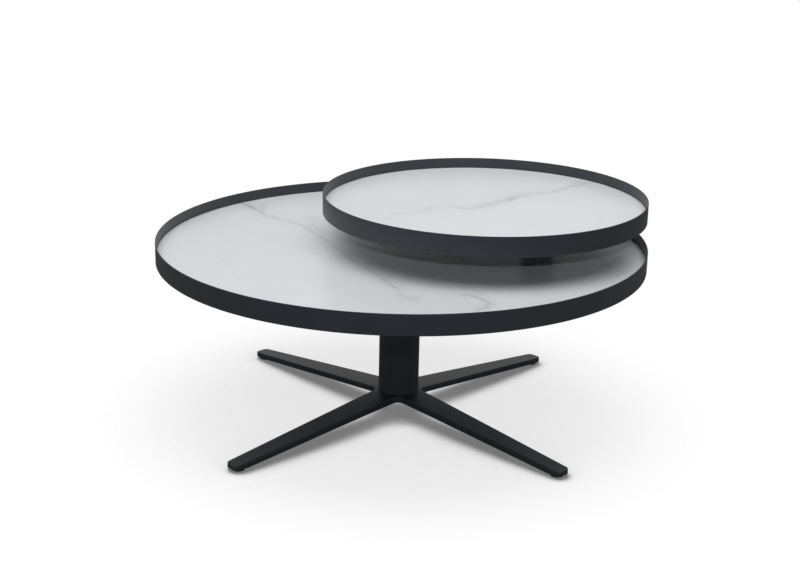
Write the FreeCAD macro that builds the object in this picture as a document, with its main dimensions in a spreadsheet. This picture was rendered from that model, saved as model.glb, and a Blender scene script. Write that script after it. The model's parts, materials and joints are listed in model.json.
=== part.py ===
import FreeCAD, Part
import os
import re
import Sketcher

# Swivel coffee table: two round trays with ceramic tops on a column and a star base.
# The upper tray turns on a post that stands off the centre of the lower tray.
# Millimetres, +Z up, origin on the floor under the column's axis.

doc = FreeCAD.newDocument("swivel_coffee_table")

# Driving sizes, in millimetres, degrees and counts
SIZES = {
    # Trays: hoop, ceramic inlay, board and welded lugs
    "lower_top_radius": 450.0,
    "lower_top_height": 348.0,
    "upper_top_radius": 300.0,
    "tray_clearance": 41.5,
    "rim_wall": 2.0,
    "rim_edge_break": 0.4,
    "tray_depth": 20.0,
    "ceramic_thickness": 6.0,
    "ceramic_edge_break": 0.6,
    "ceramic_gap": 0.5,
    "panel_thickness": 8.0,
    "panel_gap": 0.3,
    "tab_thickness": 2.5,
    "tab_length": 26.0,
    "lower_tab_angle": 5.0,
    "upper_tab_angle": 7.0,
    "lower_tab_count": 8,
    "upper_tab_count": 6,
    # Wood screws of the trays and plates
    "screw_radius": 2.5,
    "screw_head_radius": 4.5,
    "screw_head_height": 2.6,
    "screw_head_break": 1.0,
    "screw_bite": 6.0,
    "screw_clearance": 0.1,
    "screw_edge_distance": 13.0,
    # Star base
    "arm_count": 4,
    "arm_turn": 45.4,
    "arm_reach": 408.5,
    "arm_tip_width": 29.4,
    "arm_tip_round": 9.0,
    "arm_inner_round": 13.0,
    "arm_edge_round": 1.2,
    "arm_thickness": 11.1,
    "arm_tip_top": 13.6,
    "hub_top": 46.8,
    "hub_seat_margin": 3.0,
    "hub_corner_margin": 1.25,
    # Floor glides and their screws
    "glide_inset": 16.5,
    "glide_radius": 12.0,
    "glide_height": 5.2,
    "glide_edge_break": 1.0,
    "glide_seat_gap": 0.5,
    "glide_seat_depth": 0.4,
    "glide_screw_radius": 3.0,
    "glide_screw_head_radius": 5.0,
    "glide_screw_head_height": 2.0,
    "glide_screw_sink": 0.6,
    "glide_screw_bite": 6.0,
    # Column
    "column_radius": 38.0,
    "column_wall": 3.0,
    "foot_disc_thickness": 12.0,
    "foot_disc_bore": 7.0,
    "head_plate_radius": 110.0,
    "head_plate_thickness": 6.0,
    "head_screw_count": 8,
    # Bolts between base and column
    "bolt_radius": 4.0,
    "bolt_circle": 21.0,
    "bolt_count": 4,
    "bolt_head_radius": 7.0,
    "bolt_head_height": 5.0,
    "bolt_head_break": 1.5,
    "bolt_bite": 10.0,
    "washer_radius": 8.0,
    "washer_thickness": 1.6,
    # Post and swivel
    "pivot_inset": 198.0,
    "upper_offset": 104.0,
    "swing_angle": 16.7,
    "post_radius": 30.0,
    "post_wall": 4.0,
    "post_hole_gap": 0.6,
    "collar_width": 5.0,
    "collar_height": 2.5,
    "collar_edge_break": 1.0,
    "mount_plate_radius": 62.0,
    "mount_plate_thickness": 5.0,
    "mount_screw_count": 6,
    "bush_height": 14.0,
    "press_gap": 0.02,
    "running_gap": 0.05,
    "spindle_radius": 15.0,
    "thrust_thickness": 2.0,
    "thrust_inset": 1.0,
    "swivel_plate_radius": 85.0,
    "swivel_plate_thickness": 5.0,
    "swivel_screw_count": 6,
    "friction_thickness": 2.0,
    "retaining_radius": 24.0,
    "retaining_thickness": 4.0,
    "retaining_bolt_radius": 6.0,
    "retaining_head_radius": 10.4,
    "retaining_head_height": 7.5,
    "retaining_bite": 24.0,
    "thread_gap": 0.1,
    # Shared by every cut
    "overrun": 2.0,
}

sheet = doc.addObject("Spreadsheet::Sheet", "sizes")
for row, (name, size) in enumerate(SIZES.items(), start=1):
    sheet.set(f"A{row}", name)
    sheet.set(f"B{row}", str(size))
    sheet.setAlias(f"B{row}", name)
doc.recompute()

pieces = []


def linked(text):
    """Point each size named in an expression at its cell in the sheet."""
    return re.sub(r"[a-z]\w*", lambda word: "sizes." + word[0] if word[0] in SIZES else word[0], text)


def minus(*terms):
    """Take the later terms from the first one."""
    return " - ".join(f"({term})" for term in terms)


def plus(*terms):
    """Add terms up."""
    return " + ".join(f"({term})" for term in terms)


# Levels and places that follow from the driving sizes
LOWER_MARBLE = minus("lower_top_height", "tray_depth")
LOWER_BED = minus(LOWER_MARBLE, "ceramic_thickness")
LOWER_UNDERSIDE = minus(LOWER_BED, "panel_thickness")
LOWER_RIM_FOOT = minus(LOWER_UNDERSIDE, "tab_thickness")
UPPER_RIM_FOOT = plus("lower_top_height", "tray_clearance")
UPPER_UNDERSIDE = plus(UPPER_RIM_FOOT, "tab_thickness")
UPPER_BED = plus(UPPER_UNDERSIDE, "panel_thickness")
UPPER_MARBLE = plus(UPPER_BED, "ceramic_thickness")
UPPER_TOP = plus(UPPER_MARBLE, "tray_depth")
HUB_SEAT = plus("column_radius", "hub_seat_margin")
HUB_UNDERSIDE = minus("hub_top", "arm_thickness")
HEAD_PLATE_FOOT = minus(LOWER_UNDERSIDE, "head_plate_thickness")
MOUNT_PLATE_FOOT = minus(LOWER_UNDERSIDE, "mount_plate_thickness")
SWIVEL_PLATE_FOOT = minus(UPPER_UNDERSIDE, "swivel_plate_thickness")
POST_TOP = minus(SWIVEL_PLATE_FOOT, "thrust_thickness")
SPINDLE_FOOT = minus(MOUNT_PLATE_FOOT, "friction_thickness")
RETAINING_FOOT = minus(SPINDLE_FOOT, "retaining_thickness")
POST_BORE = minus("post_radius", "post_wall")
SPINDLE_BORE = plus("spindle_radius", "running_gap")
GLIDE_RING = minus("arm_reach", "glide_inset")
TIP_FLAT = minus("glide_height", "glide_seat_depth")
HEAD_SCREW_RING = minus("head_plate_radius", "screw_edge_distance")
MOUNT_SCREW_RING = minus("mount_plate_radius", "screw_edge_distance")
SWIVEL_SCREW_RING = minus("swivel_plate_radius", "screw_edge_distance")
PIVOT = minus("lower_top_radius", "pivot_inset")
TABLE_AXIS = ("0", "0", "0")
STAR_AXIS = ("0", "0", "arm_turn")
POST_AXIS = (PIVOT, "0", "0")
PIVOT_AXIS = (PIVOT, "0", "-swing_angle")
UPPER_AXIS = (
    minus(PIVOT, "upper_offset * cos(swing_angle * 1 deg)"),
    "upper_offset * sin(swing_angle * 1 deg)",
    "-swing_angle",
)

# Half width of an arm at the axis: the edges of neighbouring arms then cross just outside the column
ARM_TIP_HALF = "arm_tip_width / 2"
HUB_CORNER = "(column_radius + hub_corner_margin)"
CORNER_ACROSS = HUB_CORNER + " * sin(180 deg / arm_count)"
CORNER_ALONG = HUB_CORNER + " * cos(180 deg / arm_count) / arm_reach"
ARM_HUB_HALF = f"({CORNER_ACROSS} - {ARM_TIP_HALF} * {CORNER_ALONG}) / (1 - {CORNER_ALONG})"


def origin_feature(body, role):
    """Find one of a body's own origin planes or axes."""
    return next(feature for feature in body.Origin.OriginFeatures if feature.Role == role)


def new_body(label, axis):
    """Start a piece that stands on a vertical axis: its place in X and Y and its turn."""
    body = doc.addObject("PartDesign::Body", label)
    body.Label = label
    body.AllowCompound = True
    body.Placement.Rotation.Axis = FreeCAD.Vector(0, 0, 1)
    for path, text in zip(("Base.x", "Base.y", "Rotation.Angle"), axis):
        body.setExpression("Placement." + path, linked(text))
    pieces.append(body)
    return body


def sketch_on(body, role, shift="0"):
    """Lay a sketch on an origin plane, moved along X by a size."""
    sketch = body.newObject("Sketcher::SketchObject", body.Label + "_sketch")
    sketch.AttachmentSupport = [(origin_feature(body, role), "")]
    sketch.MapMode = "FlatFace"
    sketch.setExpression("AttachmentOffset.Base.x", linked(shift))
    return sketch


def outline(sketch, corners):
    """Draw a closed outline of straight lines whose corners follow size expressions."""
    count = len(corners)
    for index in range(count):
        start = FreeCAD.Vector(index, index * index, 0)
        following = (index + 1) % count
        end = FreeCAD.Vector(following, following * following, 0)
        sketch.addGeometry(Part.LineSegment(start, end))
    for index in range(count):
        sketch.addConstraint(Sketcher.Constraint("Coincident", index, 2, (index + 1) % count, 1))
    for index, corner in enumerate(corners):
        for kind, text in zip(("DistanceX", "DistanceY"), corner):
            line = Sketcher.Constraint(kind, -1, 1, index, 1, index)
            number = sketch.addConstraint(line)
            sketch.setExpression(f"Constraints[{number}]", linked(text))


def grown(body, kind, sketch, settings):
    """Add one feature on a sketch and make it the body's tip."""
    feature = body.newObject("PartDesign::" + kind, f"{body.Label}_{kind.lower()}")
    feature.Profile = sketch
    for name, text in settings.items():
        feature.setExpression(name, linked(text))
    body.Tip = feature
    return feature


def repeated(body, feature, count, axis=None):
    """Repeat a feature in a ring about the body's own axis or another one."""
    doc.recompute()
    ring = body.newObject("PartDesign::PolarPattern", feature.Name + "_ring")
    ring.Originals = [feature]
    ring.Axis = axis or (origin_feature(body, "Z_Axis"), [""])
    ring.Angle = 360
    ring.setExpression("Occurrences", linked(count))
    body.Tip = ring
    return ring


def turned(label, axis, corners, ring="0", count="1"):
    """Make a piece, or a ring of alike pieces, by turning a half outline."""
    body = new_body(label, axis)
    sketch = sketch_on(body, "XZ_Plane", ring)
    outline(sketch, corners)
    feature = grown(body, "Revolution", sketch, {})
    feature.ReferenceAxis = (sketch, ["V_Axis"])
    if count != "1":
        repeated(body, feature, count)
    return body


def bored(body, corners, shift="0", count="1", axis=None):
    """Cut a turned hole, or a ring of them, and see that it took material away."""
    doc.recompute()
    before = body.Shape.Volume
    sketch = sketch_on(body, "XZ_Plane", shift)
    outline(sketch, corners)
    feature = grown(body, "Groove", sketch, {})
    feature.ReferenceAxis = (sketch, ["V_Axis"])
    if count != "1":
        repeated(body, feature, count, axis)
    doc.recompute()
    if not body.Shape.Volume < before:
        raise RuntimeError(f"{feature.Name} cuts nothing")
    return sketch


def rounded(body, radius, chosen):
    """Round the chosen edges of a body's tip."""
    doc.recompute()
    base = body.Tip
    names = [f"Edge{index}" for index, edge in enumerate(base.Shape.Edges, start=1) if chosen(edge)]
    if not names:
        raise RuntimeError(f"{body.Label} has no edge to round")
    feature = body.newObject("PartDesign::Fillet", body.Label + "_fillet")
    feature.Base = (base, names)
    feature.setExpression("Radius", linked(radius))
    body.Tip = feature


def block(inner, outer, low, high):
    """Half outline of a plain ring or disc."""
    return [(inner, low), (outer, low), (outer, high), (inner, high)]


def eased(inner, outer, low, high, ease):
    """Half outline of a disc or ring whose upper outer corner is broken."""
    corners = [(inner, low), (outer, low), (outer, minus(high, ease))]
    return corners + [(minus(outer, ease), high), (inner, high)]


def headed(low, head_radius, head_height, head_break, shank_radius, shank_length):
    """Half outline of a screw that stands head down."""
    seat = plus(low, head_height)
    tip = plus(seat, shank_length)
    corners = [("0", low), (minus(head_radius, head_break), low), (head_radius, plus(low, head_break))]
    return corners + [(head_radius, seat), (shank_radius, seat), (shank_radius, tip), ("0", tip)]


def size(name):
    """Read one size back from the sheet."""
    return float(sheet.get(name))


# Star base: one tapered arm, repeated, rounded between the arms and at the tips
def build_star_base():
    body = new_body("star_base", STAR_AXIS)
    sketch = sketch_on(body, "XY_Plane")
    outline(sketch, [
        ("0", minus("0", ARM_HUB_HALF)), ("arm_reach", minus("0", ARM_TIP_HALF)),
        ("arm_reach", ARM_TIP_HALF), ("0", ARM_HUB_HALF),
    ])
    arm = grown(body, "Pad", sketch, {"Length": plus("hub_top", "overrun")})
    repeated(body, arm, "arm_count")

    def upright(edge):
        first, last = edge.Vertexes[0].Point, edge.Vertexes[-1].Point
        return abs(first.z - last.z) > size("hub_top")

    def at_tip(edge):
        point = edge.Vertexes[0].Point
        return upright(edge) and (point.x ** 2 + point.y ** 2) ** 0.5 > size("arm_reach") / 2

    def between_arms(edge):
        return upright(edge) and not at_tip(edge)

    def along_top(edge):
        plain = edge.Curve.TypeId in ("Part::GeomLine", "Part::GeomCircle")
        return edge.BoundBox.ZMin > 0 and not plain

    rounded(body, "arm_inner_round", between_arms)
    rounded(body, "arm_tip_round", at_tip)
    # Sloping faces: one cut above the arms and one a thickness below, level near the tips
    fall = f"(hub_top - arm_tip_top) / (arm_reach - ({HUB_SEAT}))"
    past_tip = plus("arm_reach", "overrun")
    tip_top = minus("arm_tip_top", fall + " * overrun")
    sky = plus("hub_top", "overrun", "overrun")
    above = [("0", "hub_top"), (HUB_SEAT, "hub_top"), (past_tip, tip_top), (past_tip, sky), ("0", sky)]
    bored(body, above)
    rounded(body, "arm_edge_round", along_top)
    ground = "-overrun"
    flat_start = plus(HUB_SEAT, f"({minus(HUB_UNDERSIDE, TIP_FLAT)}) / ({fall})")
    under = [("0", HUB_UNDERSIDE), (HUB_SEAT, HUB_UNDERSIDE), (flat_start, TIP_FLAT), (past_tip, TIP_FLAT)]
    bored(body, under + [(past_tip, ground), ("0", ground)])
    # Flat seats and blind holes for the glides, through holes for the column's bolts
    seat = plus("glide_radius", "glide_seat_gap")
    hole = plus("glide_screw_radius", "screw_clearance")
    depth = plus("glide_height", "glide_screw_bite", "overrun / 2")
    drilled = [("0", ground), (seat, ground), (seat, "glide_height"), (hole, "glide_height"), (hole, depth)]
    bored(body, drilled + [("0", depth)], GLIDE_RING, "arm_count")
    through = block("0", plus("bolt_radius", "screw_clearance"), ground, sky)
    bored(body, through, "bolt_circle", "bolt_count")


def build_glides():
    recess = plus("glide_screw_sink", "glide_screw_head_height")
    sole = minus("glide_radius", "glide_edge_break")
    pad = [("0", "0"), (sole, "0"), ("glide_radius", "glide_edge_break"), ("glide_radius", "glide_height")]
    pads = turned("floor_glides", STAR_AXIS, pad + [("0", "glide_height")], GLIDE_RING, "arm_count")
    head_hole = plus("glide_screw_head_radius", "screw_clearance")
    shank_hole = plus("glide_screw_radius", "screw_clearance")
    top = plus("glide_height", "overrun")
    cut = [("0", "-overrun"), (head_hole, "-overrun"), (head_hole, recess), (shank_hole, recess)]
    bored(pads, cut + [(shank_hole, top), ("0", top)], GLIDE_RING, "arm_count")
    length = minus(plus("glide_height", "glide_screw_bite"), recess)
    screw = headed(
        "glide_screw_sink", "glide_screw_head_radius", "glide_screw_head_height", "glide_screw_sink",
        "glide_screw_radius", length,
    )
    turned("glide_screws", STAR_AXIS, screw, GLIDE_RING, "arm_count")


# Column: tube, threaded disc in its foot, and the plate that carries the lower tray
def build_column():
    bore = minus("column_radius", "column_wall")
    turned("column_tube", TABLE_AXIS, block(bore, "column_radius", "hub_top", HEAD_PLATE_FOOT))
    disc_top = plus("hub_top", "foot_disc_thickness")
    disc = turned("column_foot_disc", STAR_AXIS, block("foot_disc_bore", bore, "hub_top", disc_top))
    thread = plus("bolt_radius", "thread_gap")
    beyond = plus(disc_top, "overrun")
    bored(disc, block("0", thread, "0", beyond), "bolt_circle", "bolt_count")
    washer_foot = minus(HUB_UNDERSIDE, "washer_thickness")
    washer_bore = plus("bolt_radius", "screw_clearance")
    washer = block(washer_bore, "washer_radius", washer_foot, HUB_UNDERSIDE)
    turned("base_washers", STAR_AXIS, washer, "bolt_circle", "bolt_count")
    bolt_low = minus(washer_foot, "bolt_head_height")
    shank = plus("washer_thickness", "arm_thickness", "bolt_bite")
    bolt = headed(bolt_low, "bolt_head_radius", "bolt_head_height", "bolt_head_break", "bolt_radius", shank)
    turned("base_bolts", STAR_AXIS, bolt, "bolt_circle", "bolt_count")
    plate = turned(
        "column_head_plate", TABLE_AXIS, block("0", "head_plate_radius", HEAD_PLATE_FOOT, LOWER_UNDERSIDE)
    )
    clear = plus("screw_radius", "screw_clearance")
    above = plus(LOWER_UNDERSIDE, "overrun")
    bored(plate, block("0", clear, "0", above), HEAD_SCREW_RING, "head_screw_count")
    place_screws(
        "head_plate_screws", TABLE_AXIS, HEAD_PLATE_FOOT, "head_plate_thickness", HEAD_SCREW_RING,
        "head_screw_count",
    )


def place_screws(label, axis, plate_foot, plate_thickness, ring, count):
    """A ring of wood screws up through a plate into the board above it."""
    low = minus(plate_foot, "screw_head_height")
    length = plus(plate_thickness, "screw_bite")
    head = ("screw_head_radius", "screw_head_height", "screw_head_break")
    turned(label, axis, headed(low, *head, "screw_radius", length), ring, count)


def pilot(underside):
    """Half outline of a blind screw hole in the underside of a board."""
    top = plus(underside, "screw_bite", "overrun / 2")
    return block("0", plus("screw_radius", "screw_clearance"), minus(underside, "overrun"), top)


# Trays: hoop, lugs, board and ceramic about one axis
def build_tray(name, axis, radius, height, levels, tab_angle, tab_count):
    marble, bed, underside, foot = levels
    inner = minus(radius, "rim_wall")
    ease = "rim_edge_break"
    hoop = [
        (plus(inner, ease), foot), (minus(radius, ease), foot), (radius, plus(foot, ease)),
        (radius, minus(height, ease)), (minus(radius, ease), height), (plus(inner, ease), height),
        (inner, minus(height, ease)), (inner, plus(foot, ease)),
    ]
    turned(name + "_rim", axis, hoop)
    tab_ring = minus(inner, "screw_edge_distance")
    tabs = new_body(name + "_rim_tabs", axis)
    sketch = sketch_on(tabs, "XZ_Plane")
    outline(sketch, block(minus(inner, "tab_length"), inner, foot, underside))
    tab = grown(tabs, "Revolution", sketch, {"Angle": tab_angle})
    tab.ReferenceAxis = (sketch, ["V_Axis"])
    tab.Midplane = True
    repeated(tabs, tab, tab_count)
    clear = plus("screw_radius", "screw_clearance")
    bored(tabs, block("0", clear, "0", plus(underside, "overrun")), tab_ring, tab_count)
    place_screws(name + "_tab_screws", axis, foot, "tab_thickness", tab_ring, tab_count)
    panel = turned(name + "_panel", axis, block("0", minus(inner, "panel_gap"), underside, bed))
    bored(panel, pilot(underside), tab_ring, tab_count)
    inlay = eased("0", minus(inner, "ceramic_gap"), bed, marble, "ceramic_edge_break")
    ceramic = turned(name + "_ceramic_top", axis, inlay)
    return panel, ceramic


def build_lower_tray():
    levels = (LOWER_MARBLE, LOWER_BED, LOWER_UNDERSIDE, LOWER_RIM_FOOT)
    panel, ceramic = build_tray(
        "lower", TABLE_AXIS, "lower_top_radius", "lower_top_height", levels, "lower_tab_angle",
        "lower_tab_count",
    )
    bored(panel, pilot(LOWER_UNDERSIDE), HEAD_SCREW_RING, "head_screw_count")
    # The post passes through both layers, and its plate is screwed to the board
    passage = block("0", plus("post_radius", "post_hole_gap"), "0", plus(LOWER_MARBLE, "overrun"))
    post_sketch = bored(panel, passage, PIVOT)
    first_screw = plus(PIVOT, MOUNT_SCREW_RING)
    bored(panel, pilot(LOWER_UNDERSIDE), first_screw, "mount_screw_count", (post_sketch, ["V_Axis"]))
    bored(ceramic, passage, PIVOT)


def build_upper_tray():
    levels = (UPPER_MARBLE, UPPER_BED, UPPER_UNDERSIDE, UPPER_RIM_FOOT)
    panel, ceramic = build_tray(
        "upper", UPPER_AXIS, "upper_top_radius", UPPER_TOP, levels, "upper_tab_angle", "upper_tab_count"
    )
    # Shallow seat over the spindle's end, on the pivot's axis, and the swivel plate's screw holes
    seat_top = plus(UPPER_UNDERSIDE, "running_gap")
    seat = block("0", "spindle_radius", minus(UPPER_UNDERSIDE, "overrun"), seat_top)
    pivot_sketch = bored(panel, seat, "upper_offset")
    first_screw = plus("upper_offset", SWIVEL_SCREW_RING)
    bored(panel, pilot(UPPER_UNDERSIDE), first_screw, "swivel_screw_count", (pivot_sketch, ["V_Axis"]))


# Post: plate under the board, sleeve, bearings and the trim ring on the ceramic
def build_post():
    plate = turned(
        "post_mount_plate", POST_AXIS,
        block(SPINDLE_BORE, "mount_plate_radius", MOUNT_PLATE_FOOT, LOWER_UNDERSIDE),
    )
    clear = plus("screw_radius", "screw_clearance")
    above = plus(LOWER_UNDERSIDE, "overrun")
    bored(plate, block("0", clear, "0", above), MOUNT_SCREW_RING, "mount_screw_count")
    place_screws(
        "post_mount_screws", POST_AXIS, MOUNT_PLATE_FOOT, "mount_plate_thickness", MOUNT_SCREW_RING,
        "mount_screw_count",
    )
    turned("post_sleeve", POST_AXIS, block(POST_BORE, "post_radius", LOWER_UNDERSIDE, POST_TOP))
    collar_bore = plus("post_radius", "press_gap")
    collar_top = plus(LOWER_MARBLE, "collar_height")
    collar = eased(
        collar_bore, plus("post_radius", "collar_width"), LOWER_MARBLE, collar_top, "collar_edge_break"
    )
    turned("post_collar", POST_AXIS, collar)
    bush = minus(POST_BORE, "press_gap")
    turned("upper_bush", POST_AXIS, block(SPINDLE_BORE, bush, minus(POST_TOP, "bush_height"), POST_TOP))
    lower_bush_top = plus(LOWER_UNDERSIDE, "bush_height")
    turned("lower_bush", POST_AXIS, block(SPINDLE_BORE, bush, LOWER_UNDERSIDE, lower_bush_top))
    thrust = minus("post_radius", "thrust_inset")
    turned("thrust_washer", POST_AXIS, block(SPINDLE_BORE, thrust, POST_TOP, SWIVEL_PLATE_FOOT))


# Swivel: spindle and plate of the upper tray, kept down by a washer and a bolt
def build_swivel():
    rod = block("0", "spindle_radius", SPINDLE_FOOT, UPPER_UNDERSIDE)
    spindle = turned("pivot_spindle", PIVOT_AXIS, rod)
    thread = plus("retaining_bolt_radius", "thread_gap")
    thread_top = plus(RETAINING_FOOT, "retaining_bite", "overrun")
    bored(spindle, block("0", thread, minus(SPINDLE_FOOT, "overrun"), thread_top))
    weld_bore = plus("spindle_radius", "press_gap")
    flange = block(weld_bore, "swivel_plate_radius", SWIVEL_PLATE_FOOT, UPPER_UNDERSIDE)
    plate = turned("swivel_plate", PIVOT_AXIS, flange)
    clear = plus("screw_radius", "screw_clearance")
    above = plus(UPPER_UNDERSIDE, "overrun")
    bored(plate, block("0", clear, "0", above), SWIVEL_SCREW_RING, "swivel_screw_count")
    place_screws(
        "swivel_plate_screws", PIVOT_AXIS, SWIVEL_PLATE_FOOT, "swivel_plate_thickness", SWIVEL_SCREW_RING,
        "swivel_screw_count",
    )
    friction = block(SPINDLE_BORE, "retaining_radius", SPINDLE_FOOT, MOUNT_PLATE_FOOT)
    turned("friction_washer", PIVOT_AXIS, friction)
    washer = block(thread, "retaining_radius", RETAINING_FOOT, SPINDLE_FOOT)
    turned("retaining_washer", PIVOT_AXIS, washer)
    build_retaining_bolt()


def build_retaining_bolt():
    head = doc.addObject("Part::Prism", "retaining_bolt_head")
    head.Polygon = 6
    head.setExpression("Circumradius", linked("retaining_head_radius"))
    head.setExpression("Height", linked("retaining_head_height"))
    shank = doc.addObject("Part::Cylinder", "retaining_bolt_shank")
    shank.setExpression("Radius", linked("retaining_bolt_radius"))
    shank.setExpression("Height", linked(plus("retaining_head_height", "retaining_bite")))
    bolt = doc.addObject("Part::Fuse", "retaining_bolt")
    bolt.Label = "retaining_bolt"
    bolt.Base = head
    bolt.Tool = shank
    bolt.setExpression("Placement.Base.x", linked(PIVOT))
    bolt.setExpression("Placement.Base.z", linked(minus(RETAINING_FOOT, "retaining_head_height")))
    pieces.append(bolt)


build_star_base()
build_glides()
build_column()
build_lower_tray()
build_post()
build_swivel()
build_upper_tray()
doc.recompute()

# Every feature has to be sound before anything is written
for feature in doc.Objects:
    if {"Invalid", "Error"} & set(feature.State):
        raise RuntimeError(f"{feature.Label} failed: {feature.State}")
os.makedirs("parts", exist_ok=True)
for piece in pieces:
    if piece.Shape.isNull() or not piece.Shape.isValid():
        raise RuntimeError(f"{piece.Label} has no sound shape")
for piece in pieces:
    piece.Shape.exportStep(f"parts/{piece.Label}.step")
    print(piece.Label, len(piece.Shape.Solids), "solids", round(piece.Shape.Volume), "mm3")
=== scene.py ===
# %% [markdown]
# # A swivel coffee table
# Two round trays of black steel hoop and marble-look ceramic stand on a column with a star base.
# The small tray turns about a post that stands off the centre of the large one.
# The solid model is loaded first as a fixed frame. Everything after that gives it its finishes, and
# makes again, with finer edges, the pieces that an eye comes close to.

# %% Load the solid model
import json
import math

import bmesh
import bpy
from mathutils import Matrix, Vector


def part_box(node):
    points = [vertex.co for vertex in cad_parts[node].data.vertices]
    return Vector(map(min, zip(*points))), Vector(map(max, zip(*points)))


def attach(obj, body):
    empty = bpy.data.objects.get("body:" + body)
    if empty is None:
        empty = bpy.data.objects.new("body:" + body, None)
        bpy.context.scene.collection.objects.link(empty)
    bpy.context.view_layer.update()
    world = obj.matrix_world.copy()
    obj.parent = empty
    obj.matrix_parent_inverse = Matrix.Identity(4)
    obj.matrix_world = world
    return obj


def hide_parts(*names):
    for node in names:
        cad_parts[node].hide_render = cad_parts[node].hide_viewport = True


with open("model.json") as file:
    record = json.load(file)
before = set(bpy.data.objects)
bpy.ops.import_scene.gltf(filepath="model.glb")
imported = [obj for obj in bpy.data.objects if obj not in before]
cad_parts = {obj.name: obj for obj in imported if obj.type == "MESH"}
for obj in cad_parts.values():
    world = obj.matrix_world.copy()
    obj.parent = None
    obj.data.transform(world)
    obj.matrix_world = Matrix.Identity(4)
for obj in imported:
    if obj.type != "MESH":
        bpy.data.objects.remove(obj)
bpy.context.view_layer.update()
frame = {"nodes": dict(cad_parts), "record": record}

nodes = frame["nodes"]

# %% [markdown]
# ## Camera
# The picture was taken from the front, a little above the table, with a lens of moderate length. The
# rims are circles, so the ellipses they make in the picture fix the distance, the height and the tilt.
# A camera can be aimed with a constraint, but here its three axes are worked out once, because the
# same axes also lead from a place in the picture to a place on the table.

# %% Place the camera
PHOTO_WIDTH, PHOTO_HEIGHT = 800, 584
FOCAL_PIXELS = 1462.8
SENSOR_WIDTH = 36.0
EYE = Vector((0.0, -2.605, 1.07475))
PITCH, ROLL, YAW = 0.31005, 0.02134, -0.00032

facing = Vector((math.sin(YAW), math.cos(YAW), 0.0))
ahead = facing * math.cos(PITCH) - Vector((0.0, 0.0, math.sin(PITCH)))
level = Vector((math.cos(YAW), -math.sin(YAW), 0.0))
steep = level.cross(ahead)
right = level * math.cos(ROLL) + steep * math.sin(ROLL)
up = steep * math.cos(ROLL) - level * math.sin(ROLL)

lens = bpy.data.cameras.new("photo_camera")
lens.sensor_width = SENSOR_WIDTH
lens.lens = FOCAL_PIXELS * SENSOR_WIDTH / PHOTO_WIDTH
camera = bpy.data.objects.new("photo_camera", lens)
turn = Matrix((right, up, -ahead)).transposed()
camera.matrix_world = Matrix.Translation(EYE) @ turn.to_4x4()
bpy.context.scene.collection.objects.link(camera)
bpy.context.scene.camera = camera
bpy.context.scene.view_settings.view_transform = "Standard"
print("camera: lens", round(lens.lens, 2), "mm, eye", tuple(EYE))


def on_level(column, row, height):
    """Where the sight line through a pixel of the picture meets a level plane."""
    across = (column - PHOTO_WIDTH / 2) / FOCAL_PIXELS
    down = (row - PHOTO_HEIGHT / 2) / FOCAL_PIXELS
    sight = ahead + right * across - up * down
    return EYE + sight * ((height - EYE.z) / sight.z)


# %% [markdown]
# ## Shader nodes in few words
# A finish is a small network of nodes. Writing each one out takes five lines, so a few helpers do it.
# The first adds a node and fills its inputs with numbers or with other nodes' outputs, and the next
# ones are built on it. The last two start a node group with named sockets, for an effect that
# several finishes share, and a finish.

# %% Node helpers
def place(tree, kind, inputs=(), **settings):
    """Add a shader node; its inputs are values or other nodes' outputs, by socket name or number."""
    made = tree.nodes.new("ShaderNode" + kind)
    for name, value in settings.items():
        setattr(made, name, value)
    for key, value in dict(inputs).items():
        if isinstance(value, bpy.types.NodeSocket):
            tree.links.new(value, made.inputs[key])
        else:
            made.inputs[key].default_value = value
    return made


def sum_of(tree, operation, *terms):
    """One step of arithmetic on numbers or outputs."""
    return place(tree, "Math", dict(enumerate(terms)), operation=operation).outputs[0]


def ramped(tree, value, low, high, start=0.0, end=1.0, smooth=True):
    """Stretch a value from one range to another, easing at both ends if it is smooth."""
    kind = "SMOOTHSTEP" if smooth else "LINEAR"
    inputs = {0: value, 1: low, 2: high, 3: start, 4: end}
    return place(tree, "MapRange", inputs, interpolation_type=kind).outputs[0]


def tinted(tree, share, first, second):
    """Mix two colours by a share."""
    inputs = {0: share, 6: first, 7: second}
    return place(tree, "Mix", inputs, data_type="RGBA").outputs[2]


def new_group(name, inputs, outputs):
    """Start a shader node group with named sockets."""
    tree = bpy.data.node_groups.new(name, "ShaderNodeTree")
    for label, kind, value in inputs:
        socket = tree.interface.new_socket(label, in_out="INPUT", socket_type="NodeSocket" + kind)
        socket.default_value = value
    for label in outputs:
        tree.interface.new_socket(label, in_out="OUTPUT", socket_type="NodeSocketFloat")
    return tree, tree.nodes.new("NodeGroupInput").outputs, tree.nodes.new("NodeGroupOutput").inputs


def new_finish(name):
    """Start a finish: its node tree, its shader and the coordinates of the piece that wears it."""
    finish = bpy.data.materials.new(name)
    finish.use_nodes = True
    tree = finish.node_tree
    shader = tree.nodes["Principled BSDF"]
    where = place(tree, "TexCoord").outputs["Object"]
    return finish, tree, shader, where


print("node helpers ready")

# %% [markdown]
# ## Studio light
# The table stands in a white studio under one wide overhead softbox, hung a little towards the camera
# and to the left: the shadow that the small tray throws on the large one is dark in the middle, and
# fades over a long way on the left and a shorter one at the front. An area lamp could be that softbox,
# but its light would fall off over the floor, so here it is a bright oval in the sky, drawn where a
# sight line meets a ceiling one metre up. The camera sees plain white instead. Mirror-like rays see
# that white low on the wall, where it is washed with light, and a dimmer wall above.

# %% World
MIRRORED_WALL = 1.0, 0.40
WALL_WASH = 0.06, 0.18
ROOM_COLOUR = (0.94, 0.98, 1.05, 1.0)
ROOM_LIGHT = 0.13
SOFTBOX_LIGHT = 2.62
SOFTBOX_CENTRE = -0.15, -0.33
SOFTBOX_HALVES = 0.86, 0.62
SOFTBOX_FADE = 1.12, 0.88
LOWEST_SIGHT = 0.02
WHITE = 1.0, 1.0, 1.0, 1.0

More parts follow.
